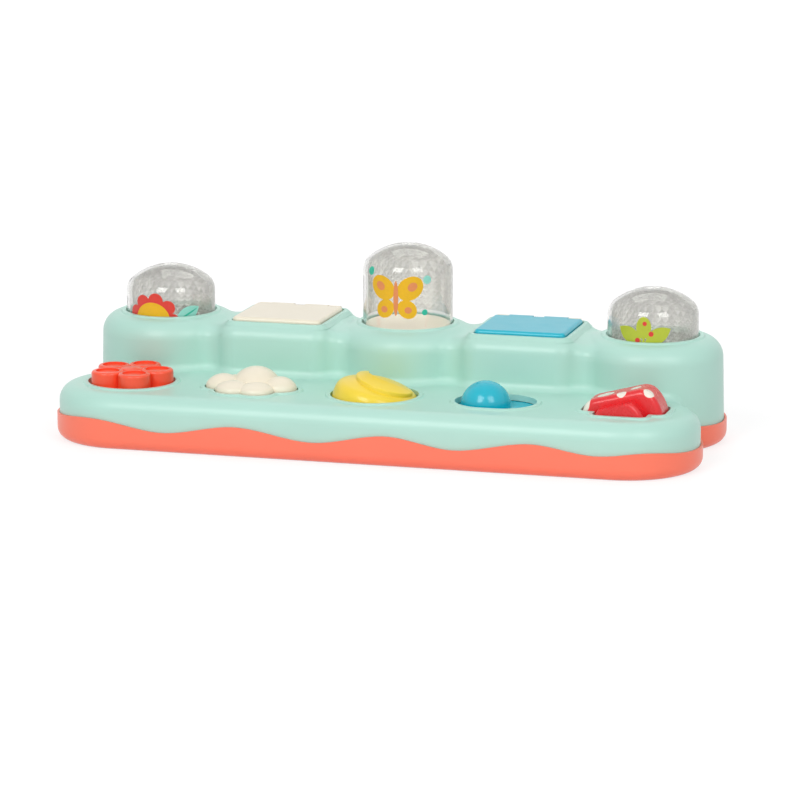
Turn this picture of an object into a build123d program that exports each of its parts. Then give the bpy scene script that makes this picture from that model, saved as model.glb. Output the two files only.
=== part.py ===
from build123d import *
from math import atan2, cos, degrees, pi, radians, sin, sqrt, tan
import os

# Layout: five bays along X, controls in the front row and pop-ups in the rear row
CONTROL_R = 26.0
BAY_LAP = 5.3
ROW_SPACE = 4.2
DRAFT_DEG = 1.5
OVERRUN = 1.0

# Upper shell
WALL = 2.6
SHELF_TOP = 32.5
SHELF_MARGIN = 17.0
SHELF_EDGE_R = 10.0
TOWER_TOP = 62.5
TOWER_SET_IN = 0.2
TOWER_EDGE_R = 12.0
POD_MARGIN = 10.0
POD_CORNER_R = 14.0
POD_EDGE_R = 9.0
POD_INNER_EDGE_R = 3.9
VALLEY_R = 12.0
CREASE_R = 5.0
CREASE_MIN_DEG = 6.0
TUNNEL_HALF = 12.0
TUNNEL_DROP = 8.0
LIP_WIDTH = 4.6
LIP_HEIGHT = 0.9
LIP_TAPER_DEG = 45.0
LIP_SINK = 1.5

# Base tray
SEAT_Z = 7.0
FLOOR = 2.5
BASE_PROUD = 1.5
RIM_GAP = 0.2
BASE_EDGE_R = 6.5
WAVE_LOW = 12.0
WAVE_RISE = 6.0
WAVE_X_SHARES = (-2.85, -2.55, -2.12, -1.55, -0.98, -0.32, 0.26, 0.76, 1.40, 1.88, 2.26, 2.62, 2.85)
WAVE_RISE_SHARES = (0.4, 0.55, 1.05, 0.05, 1.05, 0.0, 1.05, 0.1, 1.15, 0.37, 0.75, 0.2, 0.1)

# Screws from below
SCREW_R = 1.5
SCREW_FIT = 0.05
SCREW_HEAD_R = 3.2
SCREW_HEAD_H = 2.2
SCREW_BITE = 12.0
SCREW_RECESS_FIT = 0.6
SCREW_RECESS = 3.6
SCREW_DRIVE_R = 1.3
SCREW_DRIVE_DEPTH = 1.2
BOSS_R = 5.0
BOSS_TOP = 8.0
POST_R = 4.2
SCREW_FRONT_INSET = 12.0

# Fits between pieces that move
RUN_FIT = 0.06
SIDE_GAP = 0.3
OPENING_GAP = 0.8
LATCH_GAP = 0.4

# Domes and their carriers
DOME_MARGIN = 15.8
DOME_WALL = 1.5
DOME_CAP = 16.0
DOME_BEND_R = 10.0
DOME_RISE = 48.5
DOME_TRAVEL = 19.5
DOME_GAP = 0.9
DOME_FLANGE = 3.2
DOME_FLANGE_T = 1.8
PLUG_FIT = 0.15
PLUG_RISE = 5.0
CARRIER_T = 2.0
CARRIER_SKIN = 1.6
GUIDE_R = 5.0
GUIDE_WALL = 2.0
GUIDE_FLOOR_GAP = 8.8
GUIDE_END_GAP = 1.2
CATCH_INSET = 4.2
CATCH_WIDTH = 8.0
CATCH_T = 2.5
CATCH_TOOTH = 2.0
CATCH_TOOTH_H = 3.0

# Lids, their trays and hinges
LID_X = 55.0
LID_SHORTER = 1.0
LID_T = 3.4
LID_PROUD = 3.2
LID_GAP = 0.7
LID_CORNER_R = 3.5
LID_EDGE_R = 2.0
BARREL_R = 2.6
BARREL_INSET = 9.5
LID_PIN_R = 1.0
EAR_LENGTH = 7.4
TRAY_WALL = 1.6
TRAY_DEPTH = 16.0
TRAY_FLANGE = 0.8
TRAY_FRONT_SET = 8.0
TRAY_SIDE_SET = 3.5
TRAY_CORNER_R = 3.0
HOOK_INSET = 2.6
HOOK_T = 2.0
HOOK_WIDTH = 8.0
HOOK_LENGTH = 10.0
HOOK_TOOTH = 1.2
HOOK_TOOTH_H = 2.4
LID_OPEN_DEG = 95.0

# Springs
DOME_SPRING_R = 10.0
DOME_SPRING_WIRE = 0.6
DOME_SPRING_TURNS = 7
CLOUD_SPRING_R = 7.2
CLOUD_SPRING_WIRE = 0.45
CLOUD_SPRING_TURNS = 6
LID_SPRING_R = 1.9
LID_SPRING_WIRE = 0.3
LID_SPRING_TURNS = 5
LID_SPRING_LENGTH = 7.0
TURN_QUARTERS = 4

# Release levers
LEVER_FORWARD = 6.0
LEVER_Z = 12.0
LEVER_T = 3.0
LEVER_HUB_R = 6.0
LEVER_PIN_R = 2.5
LEVER_SHOULDER_R = 4.5
LEVER_ARM_WIDTH = 8.0
LEVER_NOSE_WIDTH = 9.0
LEVER_UPRIGHT_T = 4.0
DRIVE_OFFSET = 12.0
DRIVE_R = 1.75
DRIVE_GAP = 0.45
DRIVE_BELOW = 1.5
FORK_PRONG = 2.2
FORK_PAST = 2.6
CLIP_R = 4.6
CLIP_T = 1.0
CLIP_FIT = 0.05

# Flower knob
PETAL_COUNT = 5
PETAL_TURN_DEG = 7.0
PETAL_R_SHARE = 0.37
PETAL_GAP = 0.9
PETAL_RISE = 8.2
PETAL_EDGE_R = 1.6
PETAL_RIM = 2.6
PETAL_DISH_DEPTH = 1.2
FLOWER_HEART_R_SHARE = 0.262
FLOWER_HEART_RISE = 8.8
FLOWER_HEART_BEND_R = 1.2
FLOWER_TURN_DEG = 45.0
KNOB_FLANGE = 2.2
KNOB_FLANGE_T = 2.0
SHAFT_R = 4.0
SHAFT_TUBE_WALL = 2.2
SHAFT_TUBE_GAP = 7.6

# Cloud button, lobes as shares of half its width
CLOUD_OVER = 1.6
CLOUD_LOBE_X_SHARES = (-0.62, -0.28, 0.24, 0.64, 0.40, 0.04, -0.38)
CLOUD_LOBE_Y_SHARES = (-0.05, -0.42, -0.46, -0.05, 0.24, 0.18, 0.20)
CLOUD_LOBE_R_SHARES = (0.38, 0.39, 0.38, 0.36, 0.36, 0.53, 0.36)
CLOUD_LOBE_RISE_SHARES = (0.30, 0.24, 0.23, 0.30, 0.24, 0.45, 0.24)
CLOUD_SIDE = 1.2
CLOUD_BEND_SHARE = 0.62
CLOUD_TRAVEL = 5.0
CLOUD_BLADE_DEG = 35.0
CLOUD_TUBE_GAP = 4.6

# Rockers
PIVOT_DROP = 5.0
ROCKER_PIN_R = 1.5
ROCKER_WALL = 2.4
ROCKER_RIB = 7.0
ROCKER_SKIRT = 8.0
EAR_T = 4.0
EAR_HALF = 5.0
EAR_BELOW = 4.0
MOON_TILT_DEG = 12.5
MOON_RISE_SHARE = 0.61
MOON_BEND_SHARE = 0.28
MOON_BEND_START_DEG = 14.0
CRESCENT_R_SHARE = 0.694
CRESCENT_CUT_R_SHARE = 0.595
CRESCENT_X_SHARE = 0.14
CRESCENT_CUT_X_SHARE = 0.24
CRESCENT_CUT_Y_SHARE = 0.36
CRESCENT_H = 2.2
CRESCENT_EDGE_R = 0.8
MUSHROOM_SET_IN = 2.0
MUSHROOM_TILT_DEG = 15.0
MUSHROOM_RISE_SHARE = 0.683
CAP_FRONT_SHARE = 0.479
CAP_REAR_SHARE = 0.571
CAP_REAR_CORNER_SHARE = 0.32
CAP_TOP_CORNER_SHARE = 0.38
CAP_FRONT_CORNER_R = 3.6
STEM_R_SHARE = 0.621
STEM_FRONT_SHARE = 0.8875
STEM_RISE_SHARE = 0.458
STEM_CORNER_R = 3.0

# Ball slider
SLOT_RUN = 8.0
SLOT_SET_IN = 6.0
SLOT_SHIFT = -2.0
BALL_GAP = 5.5
BALL_RISE = 12.5
BALL_CAP_SHARE = 0.9
BALL_BEND_SHARE = 0.66
BALL_TRAVEL = 12.0
SLIDE_LAP = 2.5
SLIDE_T = 2.0
RAIL_T = 2.0
RAIL_LAP = 2.5

# Sizes and places worked out from those above
SHELF_R = CONTROL_R + SHELF_MARGIN
TOWER_R = SHELF_R - TOWER_SET_IN
POD_HALF = LID_X / 2 + POD_MARGIN
BAY_PITCH = POD_HALF + TOWER_R - BAY_LAP
ROW_GAP = TOWER_R + CONTROL_R + ROW_SPACE
DOME_R = TOWER_R - DOME_MARGIN
LID_Y = LID_X - LID_SHORTER
BARREL_LENGTH = LID_X - 2 * BARREL_INSET
FLOWER_HOLE_R = CONTROL_R
PETAL_R = CONTROL_R * PETAL_R_SHARE
PETAL_RING_R = FLOWER_HOLE_R - PETAL_R - PETAL_GAP
PETAL_DISH_R = PETAL_R - PETAL_RIM
FLOWER_HEART_R = CONTROL_R * FLOWER_HEART_R_SHARE
CLOUD_HALF = CONTROL_R + CLOUD_OVER
MOON_HOLE_R = CONTROL_R
MOON_R = MOON_HOLE_R - OPENING_GAP
MOON_RISE = MOON_R * MOON_RISE_SHARE
MUSHROOM_R = CONTROL_R - MUSHROOM_SET_IN
MUSHROOM_RISE = MUSHROOM_R * MUSHROOM_RISE_SHARE
CAP_FRONT = MUSHROOM_R * CAP_FRONT_SHARE
CAP_REAR = MUSHROOM_R * CAP_REAR_SHARE
CAP_REAR_CORNER_R = MUSHROOM_R * CAP_REAR_CORNER_SHARE
CAP_TOP_CORNER_R = MUSHROOM_R * CAP_TOP_CORNER_SHARE
STEM_R = MUSHROOM_R * STEM_R_SHARE
STEM_FRONT = MUSHROOM_R * STEM_FRONT_SHARE
STEM_RISE = MUSHROOM_R * STEM_RISE_SHARE
SLOT_WIDTH = 2 * (CONTROL_R - SLOT_SET_IN)
SLOT_LENGTH = SLOT_WIDTH + SLOT_RUN
BALL_R = SLOT_WIDTH / 2 - BALL_GAP
REAR_Y = (ROW_GAP + SHELF_R - TOWER_R) / 2
FRONT_Y = REAR_Y - ROW_GAP
MIDDLE_Y = (REAR_Y + FRONT_Y) / 2
LEVER_Y = MIDDLE_Y - LEVER_FORWARD
TOWER_X = (-2 * BAY_PITCH, 0, 2 * BAY_PITCH)
POD_X = (-BAY_PITCH, BAY_PITCH)
FLOWER_X = -2 * BAY_PITCH
CLOUD_X = -BAY_PITCH
MOON_X = 0
BALL_X = BAY_PITCH + SLOT_SHIFT
MUSHROOM_X = 2 * BAY_PITCH
DRIVE_Y = FRONT_Y + DRIVE_OFFSET
DRIVE_ARM = LEVER_Y - DRIVE_Y
DRIVE_LOW = LEVER_Z - DRIVE_BELOW
SHELF_UNDER = SHELF_TOP - WALL
TOWER_UNDER = TOWER_TOP - WALL
PIVOT_Z = SHELF_TOP - PIVOT_DROP
LEG_REACH = PIVOT_Z - LEVER_Z - LEVER_T / 2
FLANGE_Z = SHELF_UNDER - SIDE_GAP
FLANGE_LOW = FLANGE_Z - KNOB_FLANGE_T
SHAFT_TUBE_TOP = FLANGE_LOW - SHAFT_TUBE_GAP
CLOUD_TUBE_TOP = FLANGE_LOW - CLOUD_TRAVEL - CLOUD_TUBE_GAP
DOME_HOLE_R = DOME_R + DOME_GAP
FLANGE_R = DOME_R + DOME_FLANGE
CATCH_OFFSET = FLANGE_R - CATCH_INSET
DOME_FOOT_UP = TOWER_UNDER - SIDE_GAP - DOME_FLANGE_T
DOME_FOOT_DOWN = DOME_FOOT_UP - DOME_TRAVEL
GUIDE_TUBE = DOME_FOOT_DOWN - FLOOR - GUIDE_FLOOR_GAP
LID_TOP = TOWER_TOP + LID_PROUD
HINGE_Y = REAR_Y + LID_Y / 2 - BARREL_R
HINGE_Z = LID_TOP - BARREL_R
LID_FRONT = REAR_Y - LID_Y / 2

BOTTOM = (Align.CENTER, Align.CENTER, Align.MIN)
CORNER = (Align.MIN, Align.MIN, Align.MIN)


def rod(radius, low, high, x=0, y=0):
    """Upright round bar between two heights."""
    return Pos(x, y, low) * Cylinder(radius, high - low, align=BOTTOM)


def block(x_low, x_high, y_low, y_high, z_low, z_high):
    """Box between two corners."""
    return Pos(x_low, y_low, z_low) * Box(x_high - x_low, y_high - y_low, z_high - z_low, align=CORNER)


def cross_rod(radius, y_low, y_high, x, z):
    """Round bar along Y between two depths."""
    bar = Cylinder(radius, y_high - y_low, align=BOTTOM)
    return Pos(x, y_low, z) * Rot(-90, 0, 0) * bar


def side_rod(radius, x_low, x_high, y, z):
    """Round bar along X between two ends."""
    bar = Cylinder(radius, x_high - x_low, align=BOTTOM)
    return Pos(x_low, y, z) * Rot(0, 90, 0) * bar


def top_edges(solid):
    """Edges of the highest flat face."""
    return solid.faces().sort_by(Axis.Z)[-1].edges()


def bottom_edges(solid):
    """Edges of the lowest flat face."""
    return solid.faces().sort_by(Axis.Z)[0].edges()


def on_top(sketch, low, high, taper=0):
    """Sketch raised into a solid between two heights."""
    return extrude(Pos(0, 0, low) * sketch, amount=high - low, taper=taper)


# Openings in the upper shell, each as an outline that can grow
def dome_outline(x, grow):
    return Pos(x, REAR_Y) * Circle(DOME_HOLE_R + grow)


def lid_outline(x, grow):
    width = LID_X + 2 * (LID_GAP + grow)
    depth = LID_Y + 2 * (LID_GAP + grow)
    return Pos(x, REAR_Y) * RectangleRounded(width, depth, LID_CORNER_R + LID_GAP + grow)


def flower_outline(grow):
    return Pos(FLOWER_X, FRONT_Y) * Circle(FLOWER_HOLE_R + grow)


def moon_outline(grow):
    return Pos(MOON_X, FRONT_Y) * Circle(MOON_HOLE_R + grow)


def slot_outline(grow):
    return Pos(BALL_X, FRONT_Y) * SlotCenterToCenter(SLOT_RUN, SLOT_WIDTH + 2 * grow)


def cloud_lobes():
    """Place, radius and height of each lobe of the cloud."""
    shares = zip(CLOUD_LOBE_X_SHARES, CLOUD_LOBE_Y_SHARES, CLOUD_LOBE_R_SHARES, CLOUD_LOBE_RISE_SHARES)
    return [[CLOUD_HALF * share for share in lobe] for lobe in shares]


def cloud_outline(grow):
    outline = Sketch()
    for x, y, radius, rise in cloud_lobes():
        outline += Pos(CLOUD_X + x, FRONT_Y + y) * Circle(radius + grow)
    return outline


def cap_outline(grow):
    """Plan of the mushroom's cap: round crown at the rear, tighter corners in front."""
    half = MUSHROOM_R + grow
    depth = CAP_FRONT + CAP_REAR + 2 * grow
    rear = Rectangle(2 * half, depth)
    rear = fillet(rear.vertices().group_by(Axis.Y)[-1], CAP_REAR_CORNER_R + grow)
    rear = fillet(rear.vertices().group_by(Axis.Y)[0], CAP_FRONT_CORNER_R + grow)
    return Pos(MUSHROOM_X, FRONT_Y + (CAP_REAR - CAP_FRONT) / 2) * rear


def stem_outline(grow):
    half = STEM_R + grow
    depth = STEM_FRONT + grow
    stem = Pos(0, -depth / 2) * Rectangle(2 * half, depth)
    stem = fillet(stem.vertices().group_by(Axis.Y)[0], STEM_CORNER_R + grow)
    return Pos(MUSHROOM_X, FRONT_Y) * stem


def mushroom_outline(grow):
    return cap_outline(grow) + stem_outline(grow)


def shelf_openings(grow):
    """Outlines of the openings on the shelf."""
    moving = (flower_outline, moon_outline, slot_outline)
    close = (cloud_outline, mushroom_outline)
    return [shape(grow) for shape in moving] + [shape(OPENING_GAP + grow) for shape in close]


def tower_openings(grow):
    """Outlines of the openings on the towers and pods."""
    domes = [dome_outline(x, grow) for x in TOWER_X]
    lids = [lid_outline(x, grow) for x in POD_X]
    return domes + lids


# Upper shell
def round_inner_corners(plan, radius):
    return offset(offset(plan, radius), -radius)


def plan_outline(grow):
    """Outline of the whole toy seen from above, with its inner corners rounded."""
    rear = Sketch()
    for x in TOWER_X:
        rear += Pos(x, REAR_Y) * Circle(TOWER_R + grow)
    for x in POD_X:
        side = 2 * (POD_HALF + grow)
        rear += Pos(x, REAR_Y) * RectangleRounded(side, side, POD_CORNER_R + grow)
    plan = round_inner_corners(rear, VALLEY_R - grow)
    plan += Pos(0, FRONT_Y) * SlotCenterToCenter(4 * BAY_PITCH, 2 * (SHELF_R + grow))
    plan += Pos(0, MIDDLE_Y) * Rectangle(4 * BAY_PITCH, ROW_GAP)
    return round_inner_corners(plan, CREASE_R - grow)


def shelf_form(inset, low):
    """Long low front shelf with round ends and a soft top edge."""
    top = SHELF_TOP - inset
    slot = Pos(0, FRONT_Y) * SlotCenterToCenter(4 * BAY_PITCH, 2 * (SHELF_R - inset))
    shelf = on_top(slot, low, top)
    shelf = fillet(top_edges(shelf), SHELF_EDGE_R - inset)
    bridge = block(-2 * BAY_PITCH, 2 * BAY_PITCH, FRONT_Y, REAR_Y, low, top)
    return shelf + bridge


def tower_form(x, inset, low):
    """Round tower with drafted wall and a soft top edge."""
    foot = TOWER_R - inset
    height = TOWER_TOP - inset - low
    head = foot - height * tan(radians(DRAFT_DEG))
    tower = Pos(x, REAR_Y, low) * Cone(foot, head, height, align=BOTTOM)
    return fillet(top_edges(tower), TOWER_EDGE_R - inset)


def pod_form(x, inset, low):
    """Square pod with round corners, drafted walls and a soft top edge."""
    side = 2 * (POD_HALF - inset)
    plan = Pos(x, REAR_Y) * RectangleRounded(side, side, POD_CORNER_R - inset)
    pod = on_top(plan, low, TOWER_TOP - inset, DRAFT_DEG)
    return fillet(top_edges(pod), POD_INNER_EDGE_R if inset else POD_EDGE_R)


def rear_form(inset, low):
    """Towers and pods of the rear row, set in by a wall."""
    form = Part()
    for x in TOWER_X:
        form += tower_form(x, inset, low)
    for x in POD_X:
        form += pod_form(x, inset, low)
    return form


def concave_edges(solid, low):
    """Inner corners of a solid above a height."""
    found = ShapeList()
    for edge in solid.edges():
        middle = edge @ 0.5
        if middle.Z <= low:
            continue
        faces = [face for face in solid.faces() if edge in face.edges()]
        if len(faces) < 2:
            continue
        first = faces[0].normal_at(middle)
        second = faces[1].normal_at(middle)
        if first.get_angle(second) < CREASE_MIN_DEG:
            continue
        if solid.is_inside(middle + (first - second) * RUN_FIT):
            found.append(edge)
    return found


def screw_places():
    """Screws between the bays, along the front and along the towers."""
    front = FRONT_Y - SHELF_R + SCREW_FRONT_INSET
    between = (-1.5 * BAY_PITCH, -0.5 * BAY_PITCH, 0.5 * BAY_PITCH, 1.5 * BAY_PITCH)
    rear_top = TOWER_TOP - TUNNEL_DROP
    return [(x, front, SHELF_UNDER) for x in between] + [(x, REAR_Y, rear_top) for x in between]


def rocker_ears(x, front, rear):
    """Two ears under the shelf that hold a rocker's pin."""
    ears = block(x - EAR_HALF, x + EAR_HALF, front - EAR_T, front, PIVOT_Z - EAR_BELOW, SHELF_UNDER)
    ears += block(x - EAR_HALF, x + EAR_HALF, rear, rear + EAR_T, PIVOT_Z - EAR_BELOW, SHELF_UNDER)
    bore = cross_rod(ROCKER_PIN_R + SCREW_FIT, front - EAR_T - OVERRUN, rear + EAR_T + OVERRUN, x, PIVOT_Z)
    return ears - bore


def moon_ear_span():
    reach = MOON_HOLE_R + 2 * SIDE_GAP
    return FRONT_Y - reach, FRONT_Y + reach


def mushroom_ear_span():
    return FRONT_Y - STEM_FRONT - 2 * OPENING_GAP, FRONT_Y + CAP_REAR + 2 * OPENING_GAP


def slide_rails():
    """Rails under the shelf that carry the ball's plate."""
    half = SLOT_WIDTH / 2 + SLIDE_LAP + SIDE_GAP
    low = SHELF_UNDER - SLIDE_T - 2 * SIDE_GAP - RAIL_T
    foot_high = low + RAIL_T
    x_low = BALL_X - SLOT_LENGTH / 2
    x_high = BALL_X + SLOT_LENGTH / 2
    rails = Part()
    for side in (-1, 1):
        inner = FRONT_Y + side * (half - RAIL_LAP)
        wall = FRONT_Y + side * half
        outer = FRONT_Y + side * (half + RAIL_T)
        rails += block(x_low, x_high, min(wall, outer), max(wall, outer), low, SHELF_UNDER)
        rails += block(x_low, x_high, min(inner, outer), max(inner, outer), low, foot_high)
    return rails


def make_upper_shell():
    rear = rear_form(0, SEAT_Z)
    rear = fillet(concave_edges(rear, SEAT_Z), VALLEY_R)
    outer = rear + shelf_form(0, SEAT_Z)
    outer = fillet(concave_edges(outer, SEAT_Z), CREASE_R)
    for outline in shelf_openings(LIP_WIDTH):
        outer += on_top(outline, SHELF_TOP - LIP_SINK, SHELF_TOP + LIP_HEIGHT, LIP_TAPER_DEG)
    for outline in tower_openings(LIP_WIDTH):
        outer += on_top(outline, TOWER_TOP - LIP_SINK, TOWER_TOP + LIP_HEIGHT, LIP_TAPER_DEG)
    inner = rear_form(WALL, SEAT_Z - OVERRUN) + shelf_form(WALL, SEAT_Z - OVERRUN)
    reach = 2 * BAY_PITCH
    low = SEAT_Z - OVERRUN
    inner += block(-reach, reach, REAR_Y - TUNNEL_HALF, REAR_Y + TUNNEL_HALF, low, TOWER_TOP - TUNNEL_DROP)
    shell = outer - inner
    for x, y, top in screw_places():
        shell += rod(POST_R, BOSS_TOP, top + WALL / 2, x, y)
    shell += rocker_ears(MOON_X, *moon_ear_span())
    shell += rocker_ears(MUSHROOM_X, *mushroom_ear_span())
    shell += slide_rails()
    for outline in shelf_openings(0):
        shell -= on_top(outline, SHELF_UNDER - OVERRUN, SHELF_TOP + LIP_HEIGHT + OVERRUN)
    for outline in tower_openings(0):
        shell -= on_top(outline, TOWER_UNDER - OVERRUN, TOWER_TOP + LIP_HEIGHT + OVERRUN)
    for x, y, top in screw_places():
        shell -= rod(SCREW_R + SCREW_FIT, BOSS_TOP - OVERRUN, BOSS_TOP + SCREW_BITE, x, y)
    return shell


# Base tray
def wave_cut():
    """Everything above the wavy top edge of the base."""
    shares = zip(WAVE_X_SHARES, WAVE_RISE_SHARES)
    points = [(BAY_PITCH * x, WAVE_LOW + WAVE_RISE * rise) for x, rise in shares]
    high = 2 * (WAVE_LOW + WAVE_RISE)
    wave = Spline(points)
    lid = Polyline(points[-1], (points[-1][0], high), (points[0][0], high), points[0])
    return extrude(Plane.XZ * make_face(wave + lid), amount=2 * ROW_GAP, both=True)


def tube(radius, wall, low, high, x, y):
    """Upright tube on the floor of the base."""
    return rod(radius + RUN_FIT + wall, low, high, x, y) - rod(radius + RUN_FIT, FLOOR, high + OVERRUN, x, y)


def guide_top():
    return DOME_FOOT_DOWN + PLUG_RISE - CARRIER_SKIN - GUIDE_END_GAP


def lever_places():
    return (FLOWER_X, CLOUD_X, MOON_X, BALL_X, MUSHROOM_X)


def make_base_tray():
    high = 2 * (WAVE_LOW + WAVE_RISE)
    tray = on_top(plan_outline(BASE_PROUD), 0, WAVE_LOW + 2 * WAVE_RISE)
    tray = fillet(bottom_edges(tray), BASE_EDGE_R)
    tray -= wave_cut()
    tray -= on_top(plan_outline(RIM_GAP), SEAT_Z, high)
    tray -= on_top(plan_outline(-WALL), FLOOR, high)
    for x in TOWER_X:
        tray += rod(GUIDE_R, FLOOR / 2, guide_top(), x, REAR_Y)
    for x in lever_places():
        tray += rod(LEVER_SHOULDER_R, FLOOR / 2, LEVER_Z, x, LEVER_Y)
        tray += rod(LEVER_PIN_R, FLOOR, clip_low() + 2 * CLIP_T, x, LEVER_Y)
    tray += tube(SHAFT_R, SHAFT_TUBE_WALL, FLOOR / 2, SHAFT_TUBE_TOP, FLOWER_X, FRONT_Y)
    tray += tube(SHAFT_R, SHAFT_TUBE_WALL, FLOOR / 2, CLOUD_TUBE_TOP, CLOUD_X, FRONT_Y)
    for x, y, top in screw_places():
        tray += rod(BOSS_R, FLOOR / 2, BOSS_TOP, x, y)
        tray -= rod(SCREW_HEAD_R + SCREW_RECESS_FIT, -OVERRUN, SCREW_RECESS, x, y)
        tray -= rod(SCREW_R + SCREW_FIT, 0, BOSS_TOP + OVERRUN, x, y)
    return tray


def make_screw(x, y):
    """Pan-head screw with a cross drive, driven from below."""
    screw = rod(SCREW_HEAD_R, SCREW_RECESS - SCREW_HEAD_H, SCREW_RECESS, x, y)
    screw = fillet(bottom_edges(screw), SCREW_DRIVE_DEPTH / 2)
    screw += rod(SCREW_R, SCREW_RECESS - SCREW_HEAD_H / 2, BOSS_TOP + SCREW_BITE - SIDE_GAP, x, y)
    low = SCREW_RECESS - SCREW_HEAD_H
    long = 2 * SCREW_DRIVE_R
    slot = Rectangle(long, long / 3) + Rectangle(long / 3, long)
    return screw - Pos(x, y) * on_top(slot, low - OVERRUN, low + SCREW_DRIVE_DEPTH)


def make_base_screws():
    return Compound([make_screw(x, y).solid() for x, y, top in screw_places()])


# Domes, carriers and their springs
def dome_solid(radius, cap, bend, low, high):
    """Upright cylinder with a crown of two tangent arcs, the outer one with the bend radius."""
    shoulder = high - cap
    crown_r = (radius**2 - 2 * radius * bend + cap**2) / (2 * (cap - bend))
    turn = degrees(atan2(crown_r - cap, radius - bend))
    wall = Polyline((0, high), (0, low), (radius, low), (radius, shoulder))
    edge = CenterArc((radius - bend, shoulder), bend, 0, turn)
    crown = CenterArc((0, high - crown_r), crown_r, turn, 90 - turn)
    return revolve(Plane.XZ * make_face(wall + edge + crown), axis=Axis.Z)


def make_dome(x, foot):
    top = foot + TOWER_TOP + DOME_RISE - DOME_FOOT_UP
    dome = dome_solid(DOME_R, DOME_CAP, DOME_BEND_R, foot, top)
    dome += rod(FLANGE_R, foot, foot + DOME_FLANGE_T)
    inner_bend = DOME_BEND_R - DOME_WALL
    dome -= dome_solid(DOME_R - DOME_WALL, DOME_CAP - DOME_WALL, inner_bend, foot - OVERRUN, top - DOME_WALL)
    return Pos(x, REAR_Y) * dome


def make_carrier(x, foot):
    """Platform that plugs the dome, with its guide tube and catch leg."""
    plug_r = DOME_R - DOME_WALL - PLUG_FIT
    skin = foot + PLUG_RISE - CARRIER_SKIN
    low = foot - CARRIER_T
    carrier = rod(FLANGE_R, low, foot)
    carrier += rod(plug_r, low, foot + PLUG_RISE)
    carrier -= rod(plug_r - CARRIER_SKIN, low - OVERRUN, skin)
    carrier += rod(GUIDE_R + RUN_FIT + GUIDE_WALL, foot - GUIDE_TUBE, foot + PLUG_RISE)
    carrier -= rod(GUIDE_R + RUN_FIT, foot - GUIDE_TUBE - OVERRUN, skin)
    half = CATCH_WIDTH / 2
    leg = -CATCH_OFFSET - CATCH_T / 2
    bottom = LEVER_Z - SIDE_GAP - CATCH_TOOTH_H + foot - DOME_FOOT_DOWN
    carrier += block(-half, half, leg, leg + CATCH_T, bottom, foot)
    carrier += block(-half, half, leg - CATCH_TOOTH, leg + CATCH_T, bottom, bottom + CATCH_TOOTH_H)
    return Pos(x, REAR_Y) * carrier


def biarc(start, start_dir, end, end_dir):
    """Two tangent arcs between two points with given directions."""
    span = end - start
    lean = span.dot(start_dir + end_dir)
    bend = 2 * (1 - start_dir.dot(end_dir))
    reach = (sqrt(lean**2 + bend * span.dot(span)) - lean) / bend
    middle = (start + end + (start_dir - end_dir) * reach) / 2
    first = TangentArc(start, middle, tangent=start_dir)
    second = TangentArc(middle, end, tangent=first % 1)
    return [first, second]


def coil_point(radius, low, high, turns, share):
    angle = 2 * pi * turns * share
    return Vector(radius * cos(angle), radius * sin(angle), low + (high - low) * share)


def coil_direction(radius, low, high, turns, share):
    angle = 2 * pi * turns * share
    rise = (high - low) / (2 * pi * turns)
    return Vector(-radius * sin(angle), radius * cos(angle), rise).normalized()


def make_coil(name, radius, wire, low, high, turns):
    """Coil spring about Z between two heights, wound on biarcs of a quarter turn."""
    dip = wire * (high - low) / (pi * turns * radius)
    coil = (radius, low + wire + dip, high - wire - dip, turns)
    steps = TURN_QUARTERS * turns
    shares = [step / steps for step in range(steps + 1)]
    marks = [(coil_point(*coil, share), coil_direction(*coil, share)) for share in shares]
    first, first_dir = marks[0]
    last, last_dir = marks[-1]
    runs = [Line(first - first_dir * 2 * wire, first)]
    for (start, start_dir), (end, end_dir) in zip(marks, marks[1:]):
        runs += biarc(start, start_dir, end, end_dir)
    runs.append(Line(last, last + last_dir * 2 * wire))
    path = Wire(runs)
    turn_gaps = [(b - a).length for (a, u), (b, v) in zip(marks, marks[TURN_QUARTERS:])]
    print(name, "least gap between turns", round(min(turn_gaps) - 2 * wire, 2), "mm")
    section = Plane(origin=path @ 0, z_dir=path % 0) * Circle(wire)
    return sweep(section, path=path)


def make_dome_spring(name, x, foot):
    top = foot + PLUG_RISE - CARRIER_SKIN
    coil = make_coil(name, DOME_SPRING_R, DOME_SPRING_WIRE, FLOOR, top, DOME_SPRING_TURNS)
    return Pos(x, REAR_Y) * coil


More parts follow.
